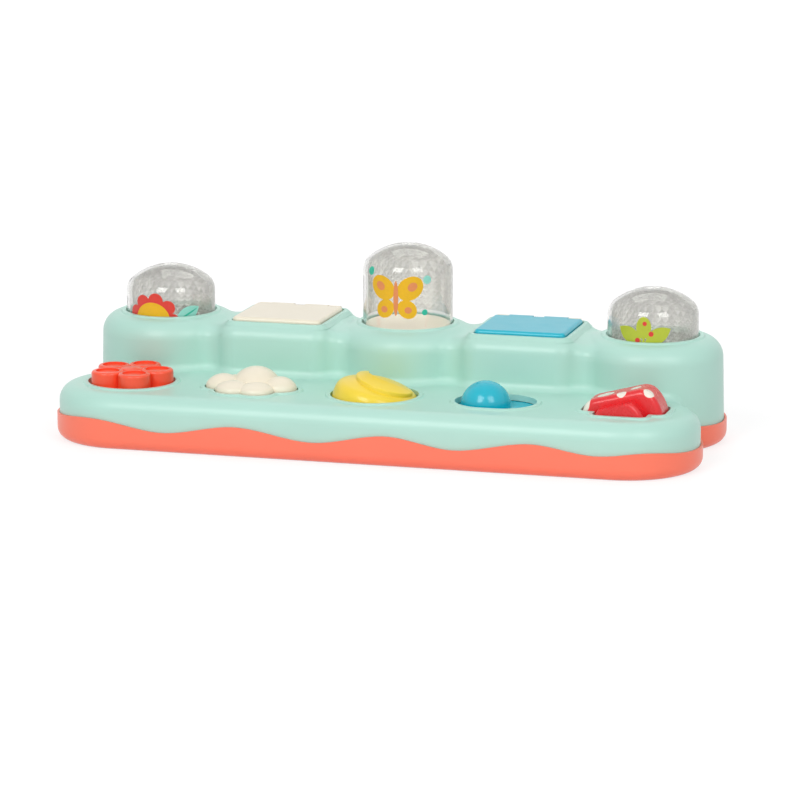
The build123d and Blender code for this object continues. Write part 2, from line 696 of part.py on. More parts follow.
# Lids, trays and hinges
def make_lid(x):
    plate = RectangleRounded(LID_X, LID_Y, LID_CORNER_R)
    lid = Pos(0, REAR_Y) * on_top(plate, LID_TOP - LID_T, LID_TOP)
    lid = fillet(top_edges(lid), LID_EDGE_R)
    half = BARREL_LENGTH / 2
    clear = BARREL_R + SIDE_GAP
    low = HINGE_Z - clear
    lid -= block(-LID_X, LID_X, HINGE_Y, HINGE_Y + LID_Y, low, LID_TOP + OVERRUN)
    lid += side_rod(BARREL_R, -half, half, HINGE_Y, HINGE_Z)
    for side in (-1, 1):
        ends = sorted((side * half, side * LID_X))
        lid -= block(*ends, HINGE_Y - clear, HINGE_Y + clear, low, LID_TOP + OVERRUN)
    spring = LID_SPRING_LENGTH / 2
    lid -= block(-spring, spring, HINGE_Y - clear, HINGE_Y + clear, low, LID_TOP + OVERRUN)
    hook_y = LID_FRONT + HOOK_INSET
    hook_low = LID_TOP - LID_T - HOOK_LENGTH
    hook_half = HOOK_WIDTH / 2
    lid += block(-hook_half, hook_half, hook_y, hook_y + HOOK_T, hook_low, LID_TOP - LID_T / 2)
    tooth_y = hook_y - HOOK_TOOTH
    lid += block(-hook_half, hook_half, tooth_y, hook_y + HOOK_T, hook_low, hook_low + HOOK_TOOTH_H)
    lid -= side_rod(LID_PIN_R + RUN_FIT, -LID_X, LID_X, HINGE_Y, HINGE_Z)
    return Pos(x) * lid


def make_lid_tray(x):
    """Shallow picture tray under a lid, with the ears of its hinge."""
    plate_low = TOWER_UNDER - TRAY_WALL
    floor_low = TOWER_UNDER - TRAY_DEPTH
    clear = BARREL_R + SIDE_GAP
    front = LID_FRONT + TRAY_FRONT_SET
    rear = HINGE_Y - clear - 2 * TRAY_WALL
    middle = (front + rear) / 2
    wide = LID_X - 2 * TRAY_SIDE_SET
    deep = rear - front
    tray = on_top(lid_outline(0, TRAY_FLANGE), plate_low, TOWER_UNDER)
    outside = RectangleRounded(wide + 2 * TRAY_WALL, deep + 2 * TRAY_WALL, TRAY_CORNER_R + TRAY_WALL)
    inside = RectangleRounded(wide, deep, TRAY_CORNER_R)
    tray += Pos(0, middle) * on_top(outside, floor_low, TOWER_UNDER)
    tray -= Pos(0, middle) * on_top(inside, floor_low + TRAY_WALL, TOWER_UNDER + OVERRUN)
    hook_half = HOOK_WIDTH / 2 + TRAY_WALL
    hook_front = LID_FRONT - LID_GAP
    tray -= block(-hook_half, hook_half, hook_front, front - TRAY_WALL, floor_low, TOWER_UNDER + OVERRUN)
    half = BARREL_LENGTH / 2 + SIDE_GAP
    tray -= side_rod(clear, -half, half, HINGE_Y, HINGE_Z)
    for side in (-1, 1):
        ends = sorted((side * half, side * (half + EAR_LENGTH)))
        tray += side_rod(BARREL_R - RIM_GAP, *ends, HINGE_Y, HINGE_Z)
        tray += block(*ends, HINGE_Y - BARREL_R / 2, HINGE_Y + BARREL_R / 2, plate_low, HINGE_Z)
    tray -= side_rod(LID_PIN_R + SCREW_FIT, -LID_X, LID_X, HINGE_Y, HINGE_Z)
    return Pos(x) * tray


def make_lid_pin(x):
    half = BARREL_LENGTH / 2 + SIDE_GAP + EAR_LENGTH
    return side_rod(LID_PIN_R, x - half, x + half, HINGE_Y, HINGE_Z)


def make_lid_spring(name, x):
    half = LID_SPRING_LENGTH / 2 - SIDE_GAP
    coil = make_coil(name, LID_SPRING_R, LID_SPRING_WIRE, -half, half, LID_SPRING_TURNS)
    return Pos(x, HINGE_Y, HINGE_Z) * Rot(0, 90, 0) * coil


# Release levers
def clip_low():
    return LEVER_Z + LEVER_T + SIDE_GAP


def lever_reach(x):
    """Length of a lever's rear arm: up to the catch of a carrier or of a lid."""
    carrier_tooth = REAR_Y - CATCH_OFFSET - CATCH_T / 2 - CATCH_TOOTH
    lid_tooth = LID_FRONT + HOOK_INSET - HOOK_TOOTH
    tooth = carrier_tooth if x in TOWER_X else lid_tooth
    return tooth - LATCH_GAP - LEVER_Y


def make_lever(x, turn, fork_half):
    """Flat lever with a fork for the control's pin and a nose for the catch."""
    reach = lever_reach(x)
    fork_end = DRIVE_ARM + FORK_PAST
    arm = Pos(0, -DRIVE_ARM / 2) * Rectangle(LEVER_ARM_WIDTH, DRIVE_ARM)
    fork_wide = 2 * (fork_half + FORK_PRONG)
    fork_start = DRIVE_ARM - DRIVE_R - DRIVE_GAP - FORK_PRONG
    fork = Pos(0, -(fork_start + fork_end) / 2) * Rectangle(fork_wide, fork_end - fork_start)
    fork = fillet(fork.vertices().group_by(Axis.Y)[-1], FORK_PRONG)
    nose = (Pos(0, reach / 2) * Rectangle(LEVER_NOSE_WIDTH, reach)) & Circle(reach)
    plan = Circle(LEVER_HUB_R) + arm + fork + nose
    slot_deep = fork_end - fork_start
    plan -= Pos(0, -fork_start - FORK_PRONG - slot_deep / 2) * Rectangle(2 * fork_half, slot_deep)
    lever = on_top(plan, LEVER_Z, LEVER_Z + LEVER_T)
    if x not in TOWER_X:
        finger = nose - Circle(reach - LEVER_UPRIGHT_T)
        hook_low = LID_TOP - LID_T - HOOK_LENGTH
        lever += on_top(finger, LEVER_Z, hook_low + HOOK_TOOTH_H + LEVER_T)
    lever -= rod(LEVER_PIN_R + RUN_FIT, LEVER_Z - OVERRUN, LEVER_Z + LEVER_T + OVERRUN)
    return Pos(x, LEVER_Y) * Rot(0, 0, turn) * lever


def make_lever_clips():
    low = clip_low()
    rings = []
    for x in lever_places():
        ring = rod(CLIP_R, low, low + CLIP_T, x, LEVER_Y)
        ring -= rod(LEVER_PIN_R + CLIP_FIT, low - OVERRUN, low + CLIP_T + OVERRUN, x, LEVER_Y)
        rings.append(ring.solid())
    return Compound(rings)


# Flower knob
def flower_pin_angle():
    """Direction of the drive pin at rest, half the turn before straight back."""
    return radians(90 - FLOWER_TURN_DEG / 2)


def make_flower_knob():
    top = SHELF_TOP + PETAL_RISE
    knob = rod(FLOWER_HOLE_R + KNOB_FLANGE, FLANGE_LOW, FLANGE_Z)
    petal = fillet(top_edges(rod(PETAL_R, FLANGE_LOW, top)), PETAL_EDGE_R)
    petal -= rod(PETAL_DISH_R, top - PETAL_DISH_DEPTH, top + OVERRUN)
    heart_h = FLOWER_HEART_RISE - PETAL_RISE + PETAL_DISH_DEPTH
    heart_top = SHELF_TOP + FLOWER_HEART_RISE
    heart = dome_solid(FLOWER_HEART_R, heart_h, FLOWER_HEART_BEND_R, FLANGE_LOW, heart_top)
    for turn in range(PETAL_COUNT):
        angle = PETAL_TURN_DEG + turn * 360 / PETAL_COUNT
        knob += Rot(0, 0, angle) * Pos(PETAL_RING_R) * petal
    knob += heart
    knob += rod(SHAFT_R, FLOOR + SIDE_GAP, FLANGE_Z)
    angle = flower_pin_angle()
    knob += rod(DRIVE_R, DRIVE_LOW, FLANGE_Z, DRIVE_OFFSET * cos(angle), DRIVE_OFFSET * sin(angle))
    return Pos(FLOWER_X, FRONT_Y) * knob


def flower_lever_turn():
    angle = flower_pin_angle()
    return degrees(atan2(DRIVE_OFFSET * cos(angle), LEVER_Y - FRONT_Y - DRIVE_OFFSET * sin(angle)))


# Cloud button
def make_cloud_button():
    cloud = on_top(cloud_outline(OPENING_GAP + KNOB_FLANGE), FLANGE_LOW, FLANGE_Z)
    for x, y, radius, rise in cloud_lobes():
        cap = rise - CLOUD_SIDE
        lobe = dome_solid(radius, cap, cap * CLOUD_BEND_SHARE, FLANGE_LOW, SHELF_TOP + rise)
        cloud += Pos(CLOUD_X + x, FRONT_Y + y) * lobe
    cloud += rod(SHAFT_R, FLOOR + SIDE_GAP + CLOUD_TRAVEL, FLANGE_Z, CLOUD_X, FRONT_Y)
    blade_high = FLANGE_Z - LEVER_Z - LEVER_T / 2
    lean = radians(CLOUD_BLADE_DEG)
    blade = rod(DRIVE_R, -LEVER_T / 2 - DRIVE_BELOW, (blade_high - DRIVE_R) / cos(lean))
    blade = Rot(0, -CLOUD_BLADE_DEG, 0) * blade
    return cloud + Pos(CLOUD_X + cloud_drive_shift(), DRIVE_Y, LEVER_Z + LEVER_T / 2) * blade


def cloud_drive_shift():
    """Place of the slanted pin at lever height, half its sideways travel off centre."""
    return CLOUD_TRAVEL * tan(radians(CLOUD_BLADE_DEG)) / 2


def make_cloud_spring():
    coil = make_coil("cloud_spring", CLOUD_SPRING_R, CLOUD_SPRING_WIRE, FLOOR, FLANGE_LOW, CLOUD_SPRING_TURNS)
    return Pos(CLOUD_X, FRONT_Y) * coil


# Rockers, each made about its own pivot and then tilted to its place
def rocker_rib(front, rear, top):
    """Rib along the pivot, bored for the pin, with the leg that drives the lever."""
    half = ROCKER_RIB / 2
    rib = block(-half, half, front, rear, -half, top)
    rib += rod(DRIVE_R, DRIVE_LOW - PIVOT_Z, 0, 0, DRIVE_OFFSET)
    return rib


def place_rocker(rocker, x, tilt):
    bore = cross_rod(ROCKER_PIN_R + RUN_FIT, -SHELF_R, SHELF_R, 0, 0)
    return Pos(x, FRONT_Y, PIVOT_Z) * Rot(0, tilt, 0) * (rocker - bore)


def moon_ball_r():
    return sqrt(MOON_R**2 + (PIVOT_DROP - WALL) ** 2)


def moon_arcs(inset):
    """Radii of the moon's side, bend and crown, with the place of the bend's centre."""
    side = moon_ball_r() - inset
    bend = MOON_R * MOON_BEND_SHARE - inset
    start = radians(MOON_BEND_START_DEG)
    x = (side - bend) * cos(start)
    z = (side - bend) * sin(start)
    rise = MOON_RISE - inset - z
    crown = (x**2 + rise**2 - bend**2) / (2 * (rise - bend))
    return side, bend, crown, x, z


def moon_form(inset):
    """Round body about the pivot with a low dome, set in by a wall."""
    side, bend, crown, x, z = moon_arcs(inset)
    high = MOON_RISE - inset
    turn = degrees(atan2(crown - high + z, x))
    profile = CenterArc((0, 0), side, -90, 90 + MOON_BEND_START_DEG)
    profile += CenterArc((x, z), bend, MOON_BEND_START_DEG, turn - MOON_BEND_START_DEG)
    profile += CenterArc((0, high - crown), crown, turn, 90 - turn)
    profile += Line((0, high), (0, -side))
    return revolve(Plane.XZ * make_face(profile), axis=Axis.Z)


def make_moon_rocker():
    side, bend, crown, x, z = moon_arcs(0)
    inner_r = side - ROCKER_WALL
    body = moon_form(0) & rod(side, -ROCKER_SKIRT, side)
    body -= moon_form(ROCKER_WALL)
    rib_room = moon_form(ROCKER_WALL / 2) + rod(inner_r, -SHELF_TOP, 0)
    body += rocker_rib(-inner_r, inner_r, MOON_RISE) & rib_room
    bite = Circle(MOON_R * CRESCENT_CUT_R_SHARE)
    bite_place = Pos(MOON_R * CRESCENT_CUT_X_SHARE, MOON_R * CRESCENT_CUT_Y_SHARE)
    crescent = Pos(MOON_R * CRESCENT_X_SHARE) * Circle(MOON_R * CRESCENT_R_SHARE) - bite_place * bite
    crescent = fillet(crescent.vertices(), 2 * CRESCENT_EDGE_R)
    plate = on_top(crescent, 0, SHELF_TOP) & Pos(0, 0, MOON_RISE - crown) * Sphere(crown + CRESCENT_H)
    body += fillet(top_edges(plate), CRESCENT_EDGE_R) - moon_form(ROCKER_WALL / 2)
    return place_rocker(body, MOON_X, MOON_TILT_DEG)


def barrel_solid(radius, front, rear, front_r, rear_r):
    """Solid of revolution about the pivot with rounded ends."""
    profile = Polygon((0, front), (radius, front), (radius, rear), (0, rear), align=None)
    outer = [v for v in profile.vertices() if v.X > radius / 2]
    profile = fillet(max(outer, key=lambda v: v.Y), rear_r)
    outer = [v for v in profile.vertices() if v.X > radius / 2]
    profile = fillet(min(outer, key=lambda v: v.Y), front_r)
    return revolve(profile, axis=Axis.Y)


def cap_solid(inset):
    """Cap round about the pivot with a flat top and soft corners, set in by a wall."""
    radius = MUSHROOM_R - inset
    top = MUSHROOM_RISE - inset
    side = Circle(radius) & Pos(0, top - radius) * Rectangle(2 * radius, 2 * radius)
    side = fillet(side.vertices().group_by(Axis.Y)[-1], CAP_TOP_CORNER_R - inset)
    cap = extrude(Plane.XZ * side, amount=CAP_FRONT + CAP_REAR - 2 * inset)
    cap = Pos(0, CAP_REAR - inset) * cap
    cap = fillet(cap.faces().sort_by(Axis.Y)[-1].edges(), CAP_REAR_CORNER_R - inset)
    return fillet(cap.faces().sort_by(Axis.Y)[0].edges(), CAP_FRONT_CORNER_R - inset)


def make_mushroom_rocker():
    wall = ROCKER_WALL
    cap = cap_solid(0) & rod(SHELF_R, -ROCKER_SKIRT, MUSHROOM_R)
    stem_room = block(-SHELF_R, SHELF_R, -SHELF_R, 0, -ROCKER_SKIRT, STEM_RISE)
    stem = barrel_solid(STEM_R, -STEM_FRONT, 0, STEM_CORNER_R, wall) & stem_room
    body = cap + stem
    body -= cap_solid(wall)
    rib_room = cap_solid(wall / 2) + rod(DRIVE_OFFSET + DRIVE_R, -SHELF_TOP, 0)
    body += rocker_rib(-CAP_FRONT, CAP_REAR - wall / 2, MUSHROOM_RISE) & rib_room
    return place_rocker(body, MUSHROOM_X, -MUSHROOM_TILT_DEG)


def rocker_lever_turn(tilt):
    return -degrees(atan2(LEG_REACH * sin(radians(tilt)), DRIVE_ARM))


def make_rocker_pin(x, front, rear):
    return cross_rod(ROCKER_PIN_R, front - EAR_T, rear + EAR_T, x, PIVOT_Z)


# Ball slider
def make_ball_slider():
    rest_x = BALL_X - BALL_TRAVEL / 2
    long = SLOT_LENGTH + 2 * SLIDE_LAP + BALL_TRAVEL
    wide = SLOT_WIDTH + 2 * SLIDE_LAP
    plate_low = FLANGE_Z - SLIDE_T
    slider = on_top(RectangleRounded(long, wide, LID_CORNER_R), plate_low, FLANGE_Z)
    cap = BALL_R * BALL_CAP_SHARE
    slider += dome_solid(BALL_R, cap, BALL_R * BALL_BEND_SHARE, plate_low, SHELF_TOP + BALL_RISE)
    slider += rod(DRIVE_R, DRIVE_LOW, FLANGE_Z, 0, DRIVE_OFFSET)
    return Pos(rest_x, FRONT_Y) * slider


def ball_lever_turn():
    return -degrees(atan2(BALL_TRAVEL / 2, DRIVE_ARM))


def cloud_lever_turn():
    return degrees(atan2(cloud_drive_shift(), DRIVE_ARM))


def slot_half(lean_deg):
    """Half width of a fork for a drive pin that leans."""
    lean = radians(lean_deg)
    return DRIVE_R / cos(lean) + LEVER_T * tan(lean) / 2 + DRIVE_GAP


def make_parts():
    """Every node of the toy by name."""
    left, centre, right = TOWER_X
    left_pod, right_pod = POD_X
    upright = slot_half(0)
    moon_turn = rocker_lever_turn(MOON_TILT_DEG)
    mushroom_turn = rocker_lever_turn(-MUSHROOM_TILT_DEG)
    moon_ears = moon_ear_span()
    mushroom_ears = mushroom_ear_span()
    return {
        "upper_shell": make_upper_shell(),
        "base_tray": make_base_tray(),
        "base_screws": make_base_screws(),
        "left_dome": make_dome(left, DOME_FOOT_DOWN),
        "centre_dome": make_dome(centre, DOME_FOOT_UP),
        "right_dome": make_dome(right, DOME_FOOT_DOWN),
        "left_carrier": make_carrier(left, DOME_FOOT_DOWN),
        "centre_carrier": make_carrier(centre, DOME_FOOT_UP),
        "right_carrier": make_carrier(right, DOME_FOOT_DOWN),
        "left_dome_spring": make_dome_spring("left_dome_spring", left, DOME_FOOT_DOWN),
        "centre_dome_spring": make_dome_spring("centre_dome_spring", centre, DOME_FOOT_UP),
        "right_dome_spring": make_dome_spring("right_dome_spring", right, DOME_FOOT_DOWN),
        "left_lid": make_lid(left_pod),
        "right_lid": make_lid(right_pod),
        "left_lid_tray": make_lid_tray(left_pod),
        "right_lid_tray": make_lid_tray(right_pod),
        "left_lid_pin": make_lid_pin(left_pod),
        "right_lid_pin": make_lid_pin(right_pod),
        "left_lid_spring": make_lid_spring("left_lid_spring", left_pod),
        "right_lid_spring": make_lid_spring("right_lid_spring", right_pod),
        "flower_knob": make_flower_knob(),
        "cloud_button": make_cloud_button(),
        "cloud_spring": make_cloud_spring(),
        "moon_rocker": make_moon_rocker(),
        "moon_pin": make_rocker_pin(MOON_X, *moon_ears),
        "ball_slider": make_ball_slider(),
        "mushroom_rocker": make_mushroom_rocker(),
        "mushroom_pin": make_rocker_pin(MUSHROOM_X, *mushroom_ears),
        "flower_lever": make_lever(FLOWER_X, flower_lever_turn(), upright),
        "cloud_lever": make_lever(CLOUD_X, cloud_lever_turn(), slot_half(CLOUD_BLADE_DEG)),
        "moon_lever": make_lever(MOON_X, moon_turn, slot_half(MOON_TILT_DEG)),
        "ball_lever": make_lever(BALL_X, ball_lever_turn(), upright),
        "mushroom_lever": make_lever(MUSHROOM_X, mushroom_turn, slot_half(MUSHROOM_TILT_DEG)),
        "lever_clips": make_lever_clips(),
    }


os.makedirs("parts", exist_ok=True)
for node, shape in make_parts().items():
    export_step(shape, f"parts/{node}.step")
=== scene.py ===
import math

import bmesh
import bpy
from mathutils import Matrix, Vector


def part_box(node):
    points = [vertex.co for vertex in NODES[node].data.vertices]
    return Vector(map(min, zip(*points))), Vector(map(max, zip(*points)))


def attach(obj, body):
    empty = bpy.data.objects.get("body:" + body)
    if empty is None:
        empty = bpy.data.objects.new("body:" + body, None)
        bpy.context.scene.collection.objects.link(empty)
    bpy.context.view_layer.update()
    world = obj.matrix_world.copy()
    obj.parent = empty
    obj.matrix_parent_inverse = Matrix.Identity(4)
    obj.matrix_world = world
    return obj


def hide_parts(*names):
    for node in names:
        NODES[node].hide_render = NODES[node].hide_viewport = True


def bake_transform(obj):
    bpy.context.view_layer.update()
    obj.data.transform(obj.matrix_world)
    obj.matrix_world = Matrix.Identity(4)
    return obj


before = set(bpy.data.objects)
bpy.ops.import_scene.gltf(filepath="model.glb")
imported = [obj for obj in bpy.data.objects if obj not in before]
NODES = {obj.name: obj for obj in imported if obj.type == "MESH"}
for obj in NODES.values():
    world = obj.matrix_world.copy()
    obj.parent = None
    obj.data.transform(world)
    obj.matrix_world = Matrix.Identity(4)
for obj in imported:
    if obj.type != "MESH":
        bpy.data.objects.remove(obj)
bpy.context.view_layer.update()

bl_info = {
    "name": "Pop-up toy",
    "version": (1, 0, 0),
    "blender": (4, 5, 0),
    "location": "View3D > Sidebar > Toy",
    "description": "Dresses the pop-up toy: plastics, clear faceted domes, prints and its stage",
    "category": "Object",
}


def srgb(red, green, blue):
    """Linear colour of a display colour given as 0 to 255."""
    shares = [value / 255 for value in (red, green, blue)]
    return tuple(s / 12.92 if s <= 0.04045 else ((s + 0.055) / 1.055) ** 2.4 for s in shares)


def colour_prop(name, description, rgb):
    """Colour that a user can change, from a display colour."""
    return bpy.props.FloatVectorProperty(
        name=name, description=description, subtype="COLOR", size=3, min=0, max=1,
        default=srgb(*rgb),
    )


def length_prop(name, description, metres):
    """Length that a user can change."""
    return bpy.props.FloatProperty(
        name=name, description=description, unit="LENGTH", default=metres
    )


class ToyColours(bpy.types.PropertyGroup):
    """Colours of the plastics and prints."""

    mint: colour_prop("Mint", "Upper shell", (179, 221, 208))
    coral: colour_prop("Coral", "Base tray", (255, 122, 94))
    orange: colour_prop("Orange", "Flower knob", (250, 84, 50))
    cream: colour_prop("Cream", "Cloud, left lid and platforms", (238, 229, 208))
    yellow: colour_prop("Yellow", "Moon rocker", (243, 212, 56))
    blue: colour_prop("Blue", "Ball and right lid", (8, 180, 202))
    red: colour_prop("Red", "Mushroom rocker", (228, 34, 40))
    spot: colour_prop("Spots", "Painted spots of the mushroom", (240, 233, 220))
    steel: colour_prop("Steel", "Springs, pins and screws", (176, 178, 182))
    lever: colour_prop("Levers", "Release levers", (226, 226, 220))
    print_yellow: colour_prop("Print yellow", "Largest print colour", (238, 182, 0))
    print_red: colour_prop("Print red", "Petals and berries", (222, 58, 46))
    print_teal: colour_prop("Print teal", "Deep dots and the leaf's vein", (40, 186, 156))
    print_mint: colour_prop("Print mint", "Pale dot and leaf", (150, 218, 204))
    print_orange: colour_prop("Print orange", "Butterfly's body and wing spots", (228, 140, 84))
    print_lime: colour_prop("Print lime", "Sprig", (184, 196, 52))


class ToySizes(bpy.types.PropertyGroup):
    """Sizes of the pieces that are made here."""

    dome_radius: length_prop("Dome radius", "Outside radius of a clear dome", 0.027)
    dome_wall: length_prop("Dome wall", "Thickness of a clear dome", 0.0015)
    dome_crown: length_prop("Crown height", "Height of the domed top", 0.016)
    dome_bend: length_prop("Crown bend", "Radius of the bend into the top", 0.010)
    dome_flange: length_prop("Flange height", "Thickness of the stop flange", 0.0018)
    facet: length_prop("Facet", "Size of one facet in a dome", 0.0042)
    facet_depth: length_prop("Facet depth", "Depth of one facet in a dome", 0.0006)
    print_lift: length_prop("Print lift", "Height of the ink over the dome", 0.00006)


# Camera of the photo view, in metres and millimetres of lens
CAMERA_PLACE = (0.5979, -2.1200, 0.4922)
CAMERA_AIM = (-0.004978, 0.0366, 0.014457)
LENS = 170.77
SENSOR_WIDTH = 36
CLIP_END = 50

# Soft boxes: name, azimuth and elevation in degrees, width and height in metres, power in
# watts, and whether glossy pieces mirror the lamp
LAMP_DISTANCE = 2.4
SOFT_BOXES = (
    ("left_soft_box", -14, 38, 0.95, 1.2, 21, True),
    ("right_soft_box", 45, 38, 0.95, 1.2, 15, True),
    ("top_soft_box", 10, 80, 1.6, 1.2, 3, False),
    ("rear_soft_box", 192, 55, 1.4, 1.0, 10, False),
)
FILL_LIGHT = 0.38

# Floor: half its size, its finish, and a glow that grows from a share near the toy to full
FLOOR_HALF = 6
FLOOR_GREY = 0.86
FLOOR_ROUGHNESS = 0.8
GLOW_STRENGTH = 1.15
GLOW_NEAR, GLOW_FAR = 0.25, 0.9
GLOW_NEAR_SHARE = 0.66

# Part of a noise that is spread over a whole range
NOISE_LOW, NOISE_HIGH = 0.3, 0.7

# Moulded plastic: pattern sizes in waves per metre, and how far each pattern goes
FLOW_SCALE, FLOW_DARK, FLOW_LIGHT = 24, 0.98, 1.01
GLOSS_SCALE, GLOSS_UNDER, GLOSS_OVER = 110, 0.02, 0.03
GRAIN_SCALE, GRAIN_STRENGTH, GRAIN_DEPTH = 2600, 0.012, 0.0002
SHINE = 0.5
COAT, COAT_ROUGHNESS = 0.12, 0.06
ROUGHNESS = {
    "shell": 0.4, "base": 0.38, "flower": 0.3, "cloud": 0.32, "moon": 0.3, "ball": 0.2,
    "mushroom": 0.27, "lid": 0.32, "platform": 0.34, "lever": 0.42,
}

# Steel and ink: pattern size in waves per metre, darkest share and range of roughness
STREAK_SCALE, STREAK_DARK, STEEL_ROUGHNESS = 900, 0.86, (0.22, 0.36)
COVER_SCALE, COVER_DARK, INK_ROUGHNESS = 700, 0.94, (0.28, 0.4)

# Clear plastic, plain and cut into facets: grey, clearness and roughness, and its haze
CLEAR_FINISH = (0.83, 0.83, 0.815), 1.0, 0.02
CUT_FINISH = (0.79, 0.785, 0.755), 0.45, 0.1
HAZE_SCALE, HAZE_OVER = 90, 0.03
CLEAR_IOR = 1.46
CLEAR_VIEW_SHARE = 0.35
# Darkest facet grey, reached by dark random greys and by painted shade
DARK_FACET_TONE_AND_SHADE_SHARE = 0.66

# Meshes: distance at which points merge, and reach for finding a point on a row
MERGE_REACH = 1e-6
ROW_REACH = 2e-5
DOME_SHARP_ANGLE = math.radians(35)
SPRING_SHARP_ANGLE = math.radians(50)
BEND_STEPS, CROWN_STEPS = 10, 18
PRINT_RINGS, PRINT_STEPS = 5, 40

# Facets of a dome: the part of the crown they cover in front of the middle, and their greys: a
# random grey per diamond, with painted light and shade by which way each facet faces
FACET_FRONT_SHARE = 0.1
PLAIN_SHADE = 0.6
MIDDLE_SHADE, SHADE_SWING = 0.5, 0.35
SHADE_WAVES = Vector((9100, 5300, 7700))
PAINTED_TOP_LIGHT, PAINTED_SIDE_SHADE = 0.6, 0.4

# Spots of the mushroom: place as shares of its box, and radius in mm; half their soft edge in mm
MUSHROOM_SPOTS = (
    (0.265, 0.54, 0.846, 5.0), (0.485, 0.346, 0.918, 2.9), (0.627, 0.56, 0.975, 3.2),
    (0.815, 0.363, 0.945, 3.4), (0.025, 0.386, 0.692, 5.2), (0.40, 0.92, 0.80, 3.6),
    (0.74, 0.90, 0.86, 3.0),
)
SPOT_EDGE = 0.08

# Flower print, in mm: its middle, the ring of petals, and the widths of a petal and the middle
FLOWER_X, FLOWER_Z, FLOWER_WIDTH = -3, 22, 22.6
PETALS, PETAL_RING, PETAL_WIDTH, FIRST_PETAL = 9, 12.5, 9.4, 10


def colours():
    """The colours set in the panel."""
    return bpy.context.scene.toy_colours


def sizes():
    """The sizes set in the panel."""
    return bpy.context.scene.toy_sizes


# Materials
def add_node(tree, kind, **values):
    """New shader node with its settings."""
    node = tree.nodes.new(kind)
    for key, value in values.items():
        setattr(node, key, value)
    return node


def noise(tree, coord, scale, detail):
    """Noise that is fixed to the piece."""
    node = add_node(tree, "ShaderNodeTexNoise")
    node.inputs["Scale"].default_value = scale
    node.inputs["Detail"].default_value = detail
    tree.links.new(coord.outputs["Object"], node.inputs["Vector"])
    return node.outputs["Fac"]


def spread(tree, value, low, high):
    """Spreads the middle of a noise between two values."""
    node = add_node(tree, "ShaderNodeMapRange")
    node.inputs["From Min"].default_value = NOISE_LOW
    node.inputs["From Max"].default_value = NOISE_HIGH
    node.inputs["To Min"].default_value = low
    node.inputs["To Max"].default_value = high
    tree.links.new(value, node.inputs["Value"])
    return node.outputs["Result"]


def blend_colours(tree, factor, first, second, first_link=None):
    """Colour between two, by a factor; the first may come from another node."""
    node = add_node(tree, "ShaderNodeMix", data_type="RGBA")
    for socket in node.inputs:
        if socket.name == "A" and socket.type == "RGBA":
            socket.default_value = (*first, 1)
            if first_link:
                tree.links.new(first_link, socket)
        if socket.name == "B" and socket.type == "RGBA":
            socket.default_value = (*second, 1)
    tree.links.new(factor, node.inputs["Factor"])
    return [s for s in node.outputs if s.type == "RGBA"][0]


def moulded_plastic(name, colour, roughness):
    """Satin moulded plastic: faint flow marks, uneven gloss and a fine tool grain."""
    material = bpy.data.materials.new(name)
    material.use_nodes = True
    tree = material.node_tree
    shader = tree.nodes["Principled BSDF"]
    coord = add_node(tree, "ShaderNodeTexCoord")
    flow = noise(tree, coord, FLOW_SCALE, 3)
    dark = [c * FLOW_DARK for c in colour]
    light = [min(1, c * FLOW_LIGHT) for c in colour]
    flow_colour = blend_colours(tree, spread(tree, flow, 0, 1), dark, light)
    tree.links.new(flow_colour, shader.inputs["Base Color"])
    gloss = noise(tree, coord, GLOSS_SCALE, 5)
    uneven = spread(tree, gloss, roughness - GLOSS_UNDER, roughness + GLOSS_OVER)
    tree.links.new(uneven, shader.inputs["Roughness"])
    tool = noise(tree, coord, GRAIN_SCALE, 2)
    bump = add_node(tree, "ShaderNodeBump")
    bump.inputs["Strength"].default_value = GRAIN_STRENGTH
    bump.inputs["Distance"].default_value = GRAIN_DEPTH
    tree.links.new(tool, bump.inputs["Height"])
    tree.links.new(bump.outputs["Normal"], shader.inputs["Normal"])
    shader.inputs["Specular IOR Level"].default_value = SHINE
    shader.inputs["Coat Weight"].default_value = COAT
    shader.inputs["Coat Roughness"].default_value = COAT_ROUGHNESS
    material.diffuse_color = (*colour, 1)
    return material


def clear_plastic(name, grey, clearness, roughness, facets=False):
    """Clear moulded plastic with an uneven haze, or with the greys of its facets, which hold a
    random grey per diamond and painted light and shade.
    """
    material = bpy.data.materials.new(name)
    material.use_nodes = True
    tree = material.node_tree
    shader = tree.nodes["Principled BSDF"]
    coord = add_node(tree, "ShaderNodeTexCoord")
    haze = noise(tree, coord, HAZE_SCALE, 3)
    uneven = spread(tree, haze, roughness, roughness + HAZE_OVER)
    tree.links.new(uneven, shader.inputs["Roughness"])
    if facets:
        # Facet greys: a random grey per diamond plus painted light and shade by which way each
        # facet faces
        facet = add_node(tree, "ShaderNodeAttribute", attribute_name="facet_tone_and_painted_shade")
        dark = [c * DARK_FACET_TONE_AND_SHADE_SHARE for c in grey]
        facet_colour = blend_colours(tree, facet.outputs["Fac"], dark, grey)
        tree.links.new(facet_colour, shader.inputs["Base Color"])
    else:
        shader.inputs["Base Color"].default_value = (*grey, 1)
    shader.inputs["Transmission Weight"].default_value = clearness
    shader.inputs["IOR"].default_value = CLEAR_IOR
    material.diffuse_color = (*grey, CLEAR_VIEW_SHARE)
    return material


def drawn_steel(name, colour):
    """Drawn steel with fine streaks."""
    material = bpy.data.materials.new(name)
    material.use_nodes = True
    tree = material.node_tree
    shader = tree.nodes["Principled BSDF"]
    coord = add_node(tree, "ShaderNodeTexCoord")
    streak = noise(tree, coord, STREAK_SCALE, 4)
    dark = [c * STREAK_DARK for c in colour]
    streak_colour = blend_colours(tree, spread(tree, streak, 0, 1), dark, colour)
    tree.links.new(streak_colour, shader.inputs["Base Color"])
    tree.links.new(spread(tree, streak, *STEEL_ROUGHNESS), shader.inputs["Roughness"])
    shader.inputs["Metallic"].default_value = 1.0
    material.diffuse_color = (*colour, 1)
    return material


